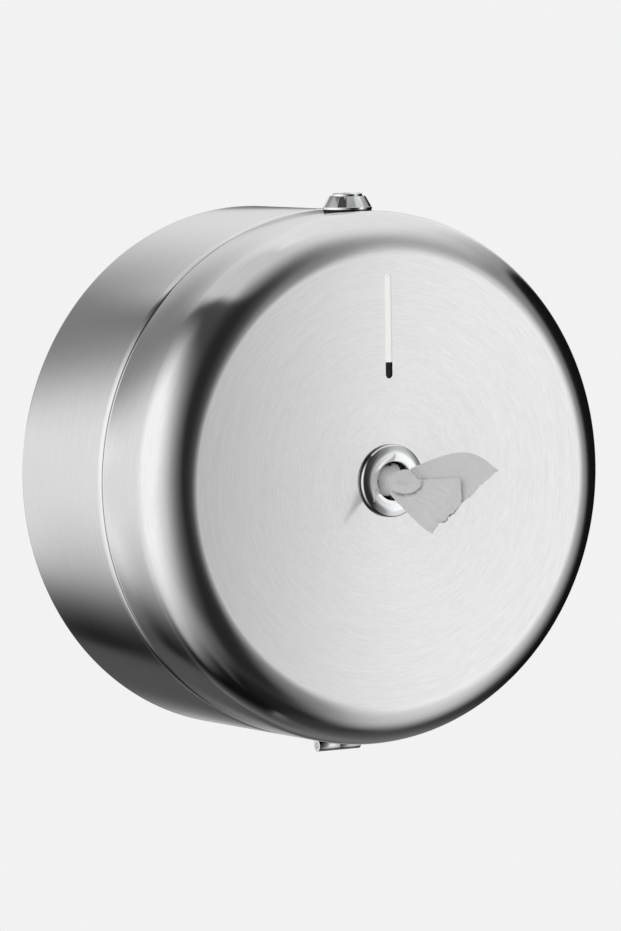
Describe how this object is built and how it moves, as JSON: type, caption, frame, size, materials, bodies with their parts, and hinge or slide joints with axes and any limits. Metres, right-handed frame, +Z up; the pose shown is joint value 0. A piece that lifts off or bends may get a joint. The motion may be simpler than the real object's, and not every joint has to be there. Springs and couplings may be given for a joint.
{
  "type": "toilet paper dispenser",
  "caption": "Round wall-mounted steel dispenser for centre-pull toilet paper, with a hinged cover, a chrome nozzle, a viewing slot and a key lock.",
  "frame": {"origin": "centre of the flat face that lies against the wall, on the drum's axis", "axes": "+Z up, +Y into the wall, so the front with the nozzle faces -Y"},
  "size_m": [0.27, 0.1944, 0.2847],
  "materials": {
    "stainless": "fine brushed stainless steel",
    "polished_chrome": "polished",
    "steel_pin": "zinc-plated steel",
    "opal_acrylic": "opal, satin",
    "black_plastic": "moulded, matt",
    "black_rubber": "matt",
    "tissue": "soft, crumpled"
  },
  "bodies": {
    "root": {"rear_case": "stainless", "roll_cradle": "stainless", "strike_bracket": "stainless", "hinge_leaf_rear": "stainless", "hinge_pin": "steel_pin", "paper_roll": "tissue"},
    "cover": {"front_cover": "stainless", "hinge_leaf_cover": "stainless", "window_lens": "opal_acrylic", "window_frame": "black_plastic", "window_studs": "steel_pin", "window_push_nuts": "steel_pin", "nozzle_bezel": "polished_chrome", "nozzle_gasket": "black_rubber", "nozzle_nut": "steel_pin", "nozzle_guide": "black_plastic", "lock_bezel": "polished_chrome", "lock_body": "polished_chrome", "lock_gasket": "black_rubber", "lock_saddle": "black_rubber", "lock_nut": "steel_pin", "paper_tail": "tissue"},
    "plug": {"lock_plug": "polished_chrome", "lock_cam": "steel_pin", "cam_washer": "steel_pin", "cam_screw": "steel_pin"}
  },
  "joints": [
    {"name": "cover_hinge", "type": "hinge", "parent": "root", "child": "cover", "pos_m": [0, -0.086, -0.1382], "axis": [1, 0, 0], "range_deg": [0, 165]},
    {"name": "lock_turn", "type": "hinge", "parent": "cover", "child": "plug", "pos_m": [0, -0.1027, 0.135], "axis": [0, 0, -1], "range_deg": [0, 90]}
  ]
}
